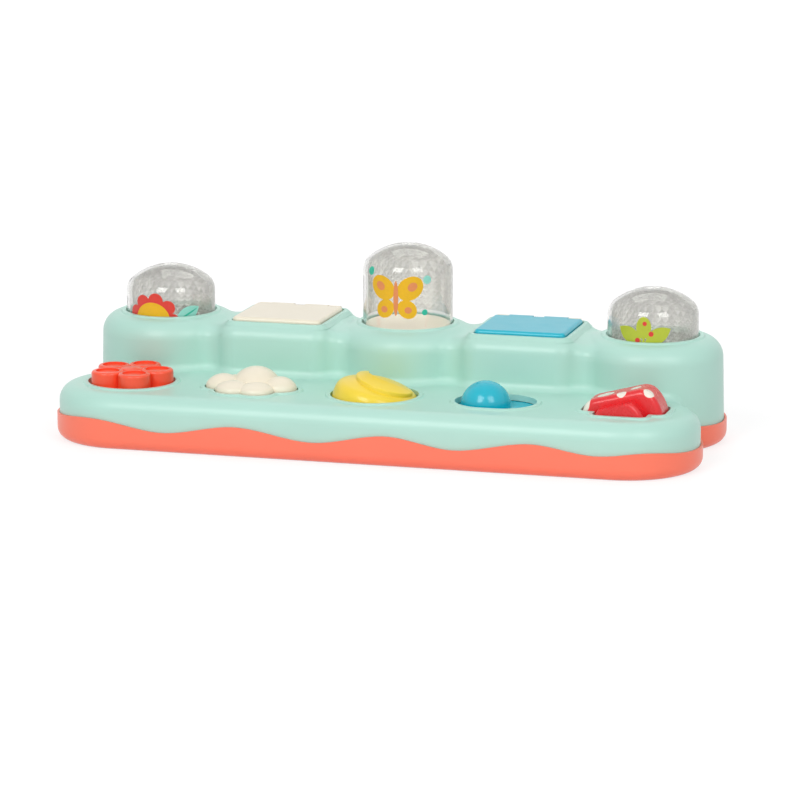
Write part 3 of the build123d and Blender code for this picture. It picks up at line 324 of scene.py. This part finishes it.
def print_ink(name, colour):
    """Screen-printed ink with a slightly uneven cover."""
    material = bpy.data.materials.new(name)
    material.use_nodes = True
    tree = material.node_tree
    shader = tree.nodes["Principled BSDF"]
    coord = add_node(tree, "ShaderNodeTexCoord")
    cover = noise(tree, coord, COVER_SCALE, 3)
    dark = [c * COVER_DARK for c in colour]
    cover_colour = blend_colours(tree, spread(tree, cover, 0, 1), dark, colour)
    tree.links.new(cover_colour, shader.inputs["Base Color"])
    tree.links.new(spread(tree, cover, *INK_ROUGHNESS), shader.inputs["Roughness"])
    material.diffuse_color = (*colour, 1)
    return material


# Meshes
def mesh_piece(bm, name, materials):
    """Mesh object of a bmesh, with its finishes."""
    mesh = bpy.data.meshes.new(name)
    bm.to_mesh(mesh)
    bm.free()
    for material in materials:
        mesh.materials.append(material)
    piece = bpy.data.objects.new(name, mesh)
    bpy.context.scene.collection.objects.link(piece)
    return piece


def finish_piece(bm, name, body, materials):
    """Mesh object of a bmesh, riding on a body."""
    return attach(mesh_piece(bm, name, materials), body)


def paint(node, material):
    """Finish of a CAD node that is shown as it is."""
    mesh = NODES[node].data
    mesh.materials.clear()
    mesh.materials.append(material)


def coil_spring(node, steel):
    """Welded, smooth-shaded copy of a spring, shown in place of its CAD node."""
    low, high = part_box(node)
    foot = (low + high) / 2
    head = foot.copy()
    foot.z, head.z = low.z, high.z
    bm = bmesh.new()
    bm.from_mesh(NODES[node].data)
    bmesh.ops.remove_doubles(bm, verts=bm.verts[:], dist=MERGE_REACH)
    smooth_faces(bm, SPRING_SHARP_ANGLE)
    piece = mesh_piece(bm, f"{node}_coil", [steel])
    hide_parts(node)
    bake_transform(piece)


def arc_from(bm, start, centre, angle, steps):
    """Chain of edges on an arc in the XZ plane, from a vertex, by spinning it."""
    made = bmesh.ops.spin(
        bm, geom=[start], cent=centre, axis=(0, -1, 0), dvec=(0, 0, 0), angle=angle,
        steps=steps, use_merge=False, use_normal_flip=False, use_duplicate=False,
    )
    return [item for item in made["geom_last"] if isinstance(item, bmesh.types.BMVert)][0]


def line_from(bm, start, step, steps):
    """Chain of edges along a straight line, from a vertex."""
    made = bmesh.ops.spin(
        bm, geom=[start], cent=(0, 0, 0), axis=(0, 0, 1), dvec=step, angle=0, steps=steps,
        use_merge=False, use_normal_flip=False, use_duplicate=False,
    )
    return [item for item in made["geom_last"] if isinstance(item, bmesh.types.BMVert)][0]


def crown_turn(radius, crown, bend):
    """Radius of the crown's large arc and the angle where the bend meets it."""
    crown_radius = (radius ** 2 - 2 * radius * bend + crown ** 2) / (2 * (crown - bend))
    return crown_radius, math.atan2(crown_radius - crown, radius - bend)


def crown_chain(bm, wall_top, top, radius, crown, bend, bend_steps, crown_steps):
    """Profile of the domed top, from the wall's upper end to the axis."""
    crown_radius, turn = crown_turn(radius, crown, bend)
    join = arc_from(bm, wall_top, (radius - bend, 0, top - crown), turn, bend_steps)
    arc_from(bm, join, (0, 0, top - crown_radius), math.pi / 2 - turn, crown_steps)


def smooth_faces(bm, sharp_angle):
    """Smooth shading that stays crisp at corners over an angle."""
    for face in bm.faces:
        face.smooth = True
    for edge in bm.edges:
        edge.smooth = edge.calc_face_angle(0) < sharp_angle


def cut_facets(bm, inner_rows, low, shoulder, front):
    """Cuts the inside of a dome into low pyramids: the rear wall and most of the crown."""
    shade = bm.faces.layers.float.new("facet_tone_and_painted_shade")

    def on_inner(vert):
        reach = math.hypot(vert.co.x, vert.co.y)
        return any(
            abs(reach - r) < ROW_REACH and abs(vert.co.z - z) < ROW_REACH for r, z in inner_rows
        )

    inside = {vert for vert in bm.verts if on_inner(vert)}
    rear = {}
    for face in bm.faces:
        middle = face.calc_center_median()
        limit = front if middle.z > shoulder else 0
        if middle.z < low or middle.y < limit or not inside.issuperset(face.verts):
            continue
        face.material_index = 1
        face[shade] = PLAIN_SHADE
        if len(face.verts) == 4:
            rear[face] = True
    shared = [
        edge for edge in bm.edges
        if len(edge.link_faces) == 2 and all(face in rear for face in edge.link_faces)
    ]
    centres = bmesh.ops.poke(
        bm, faces=list(rear), offset=0, center_mode="MEAN", use_relative_offset=False
    )["verts"]
    bmesh.ops.dissolve_edges(bm, edges=shared, use_verts=False)
    diamonds = dict.fromkeys(face for vert in centres for face in vert.link_faces)
    for face in diamonds:
        face[shade] = diamond_grey(face.calc_center_median())
    poked = bmesh.ops.poke(
        bm, faces=list(diamonds), offset=-sizes().facet_depth, center_mode="MEAN",
        use_relative_offset=False,
    )
    for face in poked["faces"]:
        middle = face.calc_center_median()
        across = Vector((-middle.y, middle.x, 0)).normalized()
        face.smooth = False
        face.material_index = 1
        # Painted light and shade: lighter where a facet faces up or one way round the dome, darker
        # where it faces down or the other way
        face[shade] += PAINTED_TOP_LIGHT * face.normal.z + PAINTED_SIDE_SHADE * face.normal.dot(across)


def diamond_grey(middle):
    """Grey share of one diamond, different from its neighbours."""
    return MIDDLE_SHADE + SHADE_SWING * math.sin(middle.dot(SHADE_WAVES))


def clear_dome(node, body, materials):
    """Clear dome with a stop flange, its inside cut into facets but for the front."""
    size = sizes()
    low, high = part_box(node)
    centre = (low + high) / 2
    foot, top = low.z, high.z
    radius, wall = size.dome_radius, size.dome_wall
    crown, bend = size.dome_crown, size.dome_bend
    flange_radius = (high.x - low.x) / 2
    inner = radius - wall
    shoulder = top - crown
    bm = bmesh.new()
    inner_foot = bm.verts.new((inner, 0, foot))
    rows = round((shoulder - foot) / size.facet)
    inner_top = line_from(bm, inner_foot, (0, 0, (shoulder - foot) / rows), rows)
    crown_radius, turn = crown_turn(inner, crown - wall, bend - wall)
    bend_rows = max(2, round((bend - wall) * turn / size.facet))
    crown_rows = round(crown_radius * (math.pi / 2 - turn) / size.facet)
    crown_chain(
        bm, inner_top, top - wall, inner, crown - wall, bend - wall, bend_rows, crown_rows
    )
    inner_rows = [(vert.co.x, vert.co.z) for vert in bm.verts]
    corner = line_from(bm, inner_foot, (flange_radius - inner, 0, 0), 1)
    corner = line_from(bm, corner, (0, 0, size.dome_flange), 1)
    corner = line_from(bm, corner, (radius - flange_radius, 0, 0), 1)
    corner = line_from(bm, corner, (0, 0, shoulder - foot - size.dome_flange), 1)
    crown_chain(bm, corner, top, radius, crown, bend, BEND_STEPS, CROWN_STEPS)
    around = round(2 * math.pi * inner / size.facet)
    bmesh.ops.spin(
        bm, geom=bm.verts[:] + bm.edges[:], cent=(0, 0, 0), axis=(0, 0, 1), dvec=(0, 0, 0),
        angle=2 * math.pi, steps=around, use_merge=True, use_normal_flip=False,
        use_duplicate=False,
    )
    bmesh.ops.remove_doubles(bm, verts=bm.verts[:], dist=MERGE_REACH)
    bmesh.ops.recalc_face_normals(bm, faces=bm.faces[:])
    smooth_faces(bm, DOME_SHARP_ANGLE)
    first_row, front = foot + 2 * size.facet, -FACET_FRONT_SHARE * inner
    cut_facets(bm, inner_rows, first_row, shoulder + bend / 2, front)
    bmesh.ops.translate(bm, verts=bm.verts[:], vec=(centre.x, centre.y, 0))
    piece = finish_piece(bm, f"{node}_clear", body, materials)
    # Lamp light goes through clear plastic to what stands inside it
    piece.visible_shadow = False
    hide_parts(node)


# Prints on the domes
def disc(bm, ink, centre, width, height, turn, shape=None):
    """Flat round or oval patch drawn in the XZ plane by spinning a line."""
    before = set(bm.verts)
    line_from(bm, bm.verts.new((0, 0, 0)), (1 / PRINT_RINGS, 0, 0), PRINT_RINGS)
    line = [vert for vert in bm.verts if vert not in before]
    edges = dict.fromkeys(edge for vert in line for edge in vert.link_edges)
    bmesh.ops.spin(
        bm, geom=line + list(edges), cent=(0, 0, 0), axis=(0, -1, 0), dvec=(0, 0, 0),
        angle=2 * math.pi, steps=PRINT_STEPS, use_merge=True, use_normal_flip=False,
        use_duplicate=False,
    )
    verts = [v for v in bm.verts if v not in before]
    bmesh.ops.remove_doubles(bm, verts=verts, dist=MERGE_REACH)
    verts = [v for v in bm.verts if v not in before]
    if shape:
        for vert in verts:
            vert.co.z *= shape(vert.co.x)
    bmesh.ops.scale(bm, verts=verts, vec=(width / 2, 1, height / 2))
    tilt = Matrix.Rotation(-turn, 3, "Y")
    bmesh.ops.rotate(bm, verts=verts, cent=(0, 0, 0), matrix=tilt)
    bmesh.ops.translate(bm, verts=verts, vec=(centre[0], 0, centre[1]))
    own = set(verts)
    for face in bm.faces:
        if all(v in own for v in face.verts):
            face.material_index = ink
    return verts


def leaf_shape(x):
    """Narrows a round patch to a pointed leaf."""
    return math.sqrt(max(0.0, 1 - x * x))


def dome_reach(up, top_up):
    """Outside radius of a dome at a height over its foot."""
    size = sizes()
    shoulder = top_up - size.dome_crown
    if up <= shoulder:
        return size.dome_radius
    crown_radius, turn = crown_turn(size.dome_radius, size.dome_crown, size.dome_bend)
    rise = up - shoulder
    if rise <= size.dome_bend * math.sin(turn):
        return size.dome_radius - size.dome_bend + math.sqrt(size.dome_bend ** 2 - rise ** 2)
    drop = crown_radius - size.dome_crown + rise
    return math.sqrt(max(0.0, crown_radius ** 2 - drop ** 2))


def wrap_on_dome(bm, node, layers):
    """Bends a flat print onto the front of a dome, each ink layer a little over the last."""
    low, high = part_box(node)
    centre = (low + high) / 2
    lift = sizes().print_lift
    for vert in bm.verts:
        reach = dome_reach(vert.co.z, high.z - low.z) + lift * layers[vert]
        angle = vert.co.x / sizes().dome_radius
        x = centre.x + reach * math.sin(angle)
        y = centre.y - reach * math.cos(angle)
        vert.co = Vector((x, y, low.z + vert.co.z))


def dome_print(node, body, name, patches, inks):
    """Print on the front of a dome from a list of patches: layer, ink and disc values."""
    bm = bmesh.new()
    layers = {}
    for layer, ink, values in patches:
        for vert in disc(bm, ink, **values):
            layers[vert] = layer
    wrap_on_dome(bm, node, layers)
    bmesh.ops.recalc_face_normals(bm, faces=bm.faces[:])
    centre = sum(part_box(node), Vector()) / 2
    for face in bm.faces:
        face.smooth = True
        out = face.calc_center_median() - centre
        if face.normal.xy.dot(out.xy) < 0:
            face.normal_flip()
    finish_piece(bm, name, body, inks)


def mm(value):
    """Metres of a length in mm."""
    return value * 0.001


def patch(layer, ink, x, z, width, height, turn=0.0, shape=None):
    """One patch of a print: layer, ink, place round the dome and over its foot, and size in mm."""
    values = {
        "centre": (mm(x), mm(z)), "width": mm(width), "height": mm(height),
        "turn": math.radians(turn),
    }
    if shape:
        values["shape"] = shape
    return layer, ink, values


# Operators
class TOY_OT_stage(bpy.types.Operator):
    """Pale floor, soft studio light and the camera"""

    bl_idname = "toy.stage"
    bl_label = "Stage"

    def execute(self, context):
        scene = context.scene
        scene.view_settings.view_transform = "Standard"
        make_floor()
        make_world(scene)
        make_lamps()
        make_camera(scene)
        return {"FINISHED"}


def make_floor():
    """Pale floor that keeps the shadow near the toy and turns white further out."""
    bm = bmesh.new()
    bmesh.ops.create_grid(bm, x_segments=1, y_segments=1, size=FLOOR_HALF)
    mesh = bpy.data.meshes.new("floor")
    bm.to_mesh(mesh)
    bm.free()
    material = bpy.data.materials.new("pale_floor")
    material.use_nodes = True
    tree = material.node_tree
    shader = tree.nodes["Principled BSDF"]
    shader.inputs["Base Color"].default_value = (FLOOR_GREY, FLOOR_GREY, FLOOR_GREY, 1)
    shader.inputs["Roughness"].default_value = FLOOR_ROUGHNESS
    glow = add_node(tree, "ShaderNodeEmission")
    glow.inputs["Color"].default_value = (1, 1, 1, 1)
    glow.inputs["Strength"].default_value = GLOW_STRENGTH
    mix = add_node(tree, "ShaderNodeMixShader")
    coord = add_node(tree, "ShaderNodeTexCoord")
    far = add_node(tree, "ShaderNodeVectorMath", operation="LENGTH")
    tree.links.new(coord.outputs["Object"], far.inputs[0])
    share = add_node(tree, "ShaderNodeMapRange")
    share.inputs["From Min"].default_value = GLOW_NEAR
    share.inputs["From Max"].default_value = GLOW_FAR
    share.inputs["To Min"].default_value = GLOW_NEAR_SHARE
    tree.links.new(far.outputs["Value"], share.inputs["Value"])
    weaker = add_node(tree, "ShaderNodeMath", operation="MULTIPLY")
    tree.links.new(share.outputs["Result"], weaker.inputs[1])
    tree.links.new(seen_rays(tree), weaker.inputs[0])
    tree.links.new(weaker.outputs[0], mix.inputs["Fac"])
    tree.links.new(shader.outputs[0], mix.inputs[1])
    tree.links.new(glow.outputs[0], mix.inputs[2])
    tree.links.new(mix.outputs[0], tree.nodes["Material Output"].inputs["Surface"])
    mesh.materials.append(material)
    floor = bpy.data.objects.new("floor", mesh)
    bpy.context.scene.collection.objects.link(floor)


def seen_rays(tree):
    """1 for rays that show the background: straight, mirrored or through clear plastic."""
    path = add_node(tree, "ShaderNodeLightPath")
    first = add_node(tree, "ShaderNodeMath", operation="MAXIMUM")
    second = add_node(tree, "ShaderNodeMath", operation="MAXIMUM")
    tree.links.new(path.outputs["Is Camera Ray"], first.inputs[0])
    tree.links.new(path.outputs["Is Glossy Ray"], first.inputs[1])
    tree.links.new(first.outputs[0], second.inputs[0])
    tree.links.new(path.outputs["Is Transmission Ray"], second.inputs[1])
    return second.outputs[0]


def make_world(scene):
    """Soft fill light all round, seen as plain white."""
    world = bpy.data.worlds.new("studio")
    scene.world = world
    world.use_nodes = True
    tree = world.node_tree
    tree.nodes.clear()
    fill = add_node(tree, "ShaderNodeBackground")
    fill.inputs["Color"].default_value = (1, 1, 1, 1)
    fill.inputs["Strength"].default_value = FILL_LIGHT
    shown = add_node(tree, "ShaderNodeBackground")
    shown.inputs["Color"].default_value = (1, 1, 1, 1)
    shown.inputs["Strength"].default_value = 1.0
    mix = add_node(tree, "ShaderNodeMixShader")
    tree.links.new(seen_rays(tree), mix.inputs["Fac"])
    tree.links.new(fill.outputs[0], mix.inputs[1])
    tree.links.new(shown.outputs[0], mix.inputs[2])
    out = add_node(tree, "ShaderNodeOutputWorld")
    tree.links.new(mix.outputs[0], out.inputs["Surface"])


def soft_box(name, azimuth, elevation, width, height, power, mirrored):
    """Lamp aimed at the toy; azimuth 0 is in front and positive to the right."""
    light = bpy.data.lights.new(name, "AREA")
    light.shape = "RECTANGLE"
    light.size = width
    light.size_y = height
    light.energy = power
    lamp = bpy.data.objects.new(name, light)
    around, up = math.radians(azimuth), math.radians(elevation)
    x, y = math.sin(around) * math.cos(up), -math.cos(around) * math.cos(up)
    place = Vector((x, y, math.sin(up))) * LAMP_DISTANCE
    lamp.location = place
    lamp.rotation_euler = (-place).to_track_quat("-Z", "Y").to_euler()
    lamp.visible_glossy = mirrored
    bpy.context.scene.collection.objects.link(lamp)


def make_lamps():
    """All the soft boxes."""
    for values in SOFT_BOXES:
        soft_box(*values)


def make_camera(scene):
    """Camera at the photo's viewing angle."""
    data = bpy.data.cameras.new("photo_view")
    data.sensor_width = SENSOR_WIDTH
    data.sensor_fit = "HORIZONTAL"
    data.lens = LENS
    data.clip_end = CLIP_END
    camera = bpy.data.objects.new("photo_view", data)
    camera.location = CAMERA_PLACE
    aim = Vector(CAMERA_AIM) - camera.location
    camera.rotation_euler = aim.to_track_quat("-Z", "Y").to_euler()
    scene.collection.objects.link(camera)
    scene.camera = camera


class TOY_OT_housing(bpy.types.Operator):
    """Mint upper shell on its coral base"""

    bl_idname = "toy.housing"
    bl_label = "Housing"

    def execute(self, context):
        mint = moulded_plastic("mint_plastic", colours().mint, ROUGHNESS["shell"])
        coral = moulded_plastic("coral_plastic", colours().coral, ROUGHNESS["base"])
        paint("upper_shell", mint)
        paint("base_tray", coral)
        return {"FINISHED"}


class TOY_OT_controls(bpy.types.Operator):
    """Flower, cloud, moon and ball"""

    bl_idname = "toy.controls"
    bl_label = "Controls"

    def execute(self, context):
        colour = colours()
        orange = moulded_plastic("orange_plastic", colour.orange, ROUGHNESS["flower"])
        cream = moulded_plastic("cloud_plastic", colour.cream, ROUGHNESS["cloud"])
        yellow = moulded_plastic("yellow_plastic", colour.yellow, ROUGHNESS["moon"])
        blue = moulded_plastic("ball_plastic", colour.blue, ROUGHNESS["ball"])
        paint("flower_knob", orange)
        paint("cloud_button", cream)
        paint("moon_rocker", yellow)
        paint("ball_slider", blue)
        return {"FINISHED"}


class TOY_OT_mushroom(bpy.types.Operator):
    """Red mushroom with painted spots"""

    bl_idname = "toy.mushroom"
    bl_label = "Mushroom"

    def execute(self, context):
        paint("mushroom_rocker", spotted_plastic())
        return {"FINISHED"}


def spotted_plastic():
    """Red plastic with pale painted spots round the cap."""
    material = moulded_plastic("red_plastic", colours().red, ROUGHNESS["mushroom"])
    tree = material.node_tree
    coord = add_node(tree, "ShaderNodeTexCoord")
    low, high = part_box("mushroom_rocker")
    cover = None
    for x, y, z, radius in MUSHROOM_SPOTS:
        reach = add_node(tree, "ShaderNodeVectorMath", operation="DISTANCE")
        reach.inputs[1].default_value = low + (high - low) * Vector((x, y, z))
        tree.links.new(coord.outputs["Object"], reach.inputs[0])
        edge = add_node(tree, "ShaderNodeMapRange")
        edge.inputs["From Min"].default_value = mm(radius) + mm(SPOT_EDGE)
        edge.inputs["From Max"].default_value = mm(radius) - mm(SPOT_EDGE)
        tree.links.new(reach.outputs["Value"], edge.inputs["Value"])
        if cover:
            either = add_node(tree, "ShaderNodeMath", operation="MAXIMUM")
            tree.links.new(cover, either.inputs[0])
            tree.links.new(edge.outputs["Result"], either.inputs[1])
            cover = either.outputs[0]
        else:
            cover = edge.outputs["Result"]
    base = tree.nodes["Principled BSDF"].inputs["Base Color"]
    red = base.links[0].from_socket
    tree.links.new(blend_colours(tree, cover, colours().red, colours().spot, red), base)
    return material


class TOY_OT_lids(bpy.types.Operator):
    """Flip lids, their trays, pins and springs"""

    bl_idname = "toy.lids"
    bl_label = "Lids"

    def execute(self, context):
        cream = moulded_plastic("lid_cream_plastic", colours().cream, ROUGHNESS["lid"])
        blue = moulded_plastic("lid_blue_plastic", colours().blue, ROUGHNESS["lid"])
        steel = drawn_steel("lid_steel", colours().steel)
        paint("left_lid", cream)
        paint("right_lid", blue)
        for side in ("left", "right"):
            paint(f"{side}_lid_tray", cream)
            paint(f"{side}_lid_pin", steel)
            paint(f"{side}_lid_spring", steel)
        return {"FINISHED"}


class TOY_OT_domes(bpy.types.Operator):
    """Clear domes with their platforms and springs"""

    bl_idname = "toy.domes"
    bl_label = "Domes"

    def execute(self, context):
        clear = clear_plastic("clear_plastic", *CLEAR_FINISH)
        cut = clear_plastic("cut_clear_plastic", *CUT_FINISH, facets=True)
        cream = moulded_plastic("platform_plastic", colours().cream, ROUGHNESS["platform"])
        steel = drawn_steel("spring_steel", colours().steel)
        for side in ("left", "centre", "right"):
            clear_dome(f"{side}_dome", f"{side}_popup", [clear, cut])
            paint(f"{side}_carrier", cream)
            coil_spring(f"{side}_dome_spring", steel)
        return {"FINISHED"}


class TOY_OT_prints(bpy.types.Operator):
    """Printed flower, butterfly and sprig on the fronts of the domes"""

    bl_idname = "toy.prints"
    bl_label = "Prints"

    def execute(self, context):
        colour = colours()
        yellow = print_ink("yellow_ink", colour.print_yellow)
        red = print_ink("red_ink", colour.print_red)
        teal = print_ink("teal_ink", colour.print_teal)
        mint = print_ink("mint_ink", colour.print_mint)
        orange = print_ink("orange_ink", colour.print_orange)
        lime = print_ink("lime_ink", colour.print_lime)
        flower, butterfly, sprig = flower_patches(), butterfly_patches(), sprig_patches()
        butterfly_inks = [yellow, orange, teal, mint]
        dome_print("left_dome", "left_popup", "flower_print", flower, [yellow, red, mint, teal])
        dome_print("centre_dome", "centre_popup", "butterfly_print", butterfly, butterfly_inks)
        dome_print("right_dome", "right_popup", "sprig_print", sprig, [lime, red])
        return {"FINISHED"}


def flower_patches():
    """Round flower with a leaf."""
    patches = [patch(1, 2, 19, 26, 18, 9, 28, leaf_shape), patch(2, 3, 19, 26, 14, 1.0, 28)]
    for turn in range(PETALS):
        angle = math.radians(turn * 360 / PETALS + FIRST_PETAL)
        x = FLOWER_X + PETAL_RING * math.sin(angle)
        z = FLOWER_Z + PETAL_RING * math.cos(angle)
        patches.append(patch(3, 1, x, z, PETAL_WIDTH, PETAL_WIDTH))
    patches.append(patch(4, 0, FLOWER_X, FLOWER_Z, FLOWER_WIDTH, FLOWER_WIDTH))
    return patches


def butterfly_patches():
    """Butterfly with three dots."""
    patches = []
    for side in (-1, 1):
        patches.append(patch(1, 0, side * 8.6, 30, 17, 13.5, side * 35))
        patches.append(patch(1, 0, side * 6.8, 17.5, 12.5, 10.5, side * -40))
        patches.append(patch(2, 1, side * 10, 31, 6.2, 5, side * 35))
        patches.append(patch(2, 1, side * 7.4, 17, 4.4, 4))
    patches.append(patch(3, 1, 0, 24, 3.0, 21))
    patches += [patch(1, 2, -18, 39, 5, 5), patch(1, 3, 19, 35, 5.2, 5.2)]
    patches.append(patch(1, 2, 17.5, 15.5, 3.6, 3.6))
    return patches


def sprig_patches():
    """Sprig of five leaves with three berries."""
    patches = [patch(1, 0, 0, 21, 1.6, 26)]
    for side in (-1, 1):
        patches.append(patch(2, 0, side * 8.5, 29, 17, 9, side * 28, leaf_shape))
        patches.append(patch(2, 0, side * 8.5, 20, 17, 9, side * 18, leaf_shape))
    patches.append(patch(2, 0, 0, 33.5, 9, 13, 0))
    patches += [patch(3, 1, -3.6, 26, 3, 3), patch(3, 1, 4.4, 30, 3, 3)]
    patches.append(patch(3, 1, 0.6, 36, 2.6, 2.6))
    return patches


class TOY_OT_mechanism(bpy.types.Operator):
    """Levers, pins, clips, screws and the cloud's spring"""

    bl_idname = "toy.mechanism"
    bl_label = "Mechanism"

    def execute(self, context):
        steel = drawn_steel("fixing_steel", colours().steel)
        lever = moulded_plastic("lever_plastic", colours().lever, ROUGHNESS["lever"])
        for node in ("moon_pin", "mushroom_pin", "lever_clips", "base_screws"):
            paint(node, steel)
        coil_spring("cloud_spring", steel)
        for name in ("flower", "cloud", "moon", "ball", "mushroom"):
            paint(f"{name}_lever", lever)
        return {"FINISHED"}


STEPS = ("stage", "housing", "controls", "mushroom", "lids", "domes", "prints", "mechanism")


class TOY_PT_panel(bpy.types.Panel):
    """Sizes, colours and steps of the toy"""

    bl_label = "Pop-up toy"
    bl_idname = "TOY_PT_panel"
    bl_space_type = "VIEW_3D"
    bl_region_type = "UI"
    bl_category = "Toy"

    def draw(self, context):
        layout = self.layout
        for group in (context.scene.toy_sizes, context.scene.toy_colours):
            for key in group.bl_rna.properties.keys():
                if key not in ("rna_type", "name"):
                    layout.prop(group, key)
        for step in STEPS:
            layout.operator(f"toy.{step}")


CLASSES = (
    ToyColours, ToySizes, TOY_OT_stage, TOY_OT_housing, TOY_OT_controls, TOY_OT_mushroom,
    TOY_OT_lids, TOY_OT_domes, TOY_OT_prints, TOY_OT_mechanism, TOY_PT_panel,
)


def register():
    """Adds the classes and the toy's settings."""
    for item in CLASSES:
        bpy.utils.register_class(item)
    bpy.types.Scene.toy_colours = bpy.props.PointerProperty(type=ToyColours)
    bpy.types.Scene.toy_sizes = bpy.props.PointerProperty(type=ToySizes)


def unregister():
    """Takes the classes and the toy's settings out again."""
    del bpy.types.Scene.toy_sizes
    del bpy.types.Scene.toy_colours
    for item in reversed(CLASSES):
        bpy.utils.unregister_class(item)


def main():
    """Dresses the toy step by step."""
    register()
    for step in STEPS:
        getattr(bpy.ops.toy, step)()


if __name__ == "__main__":
    main()
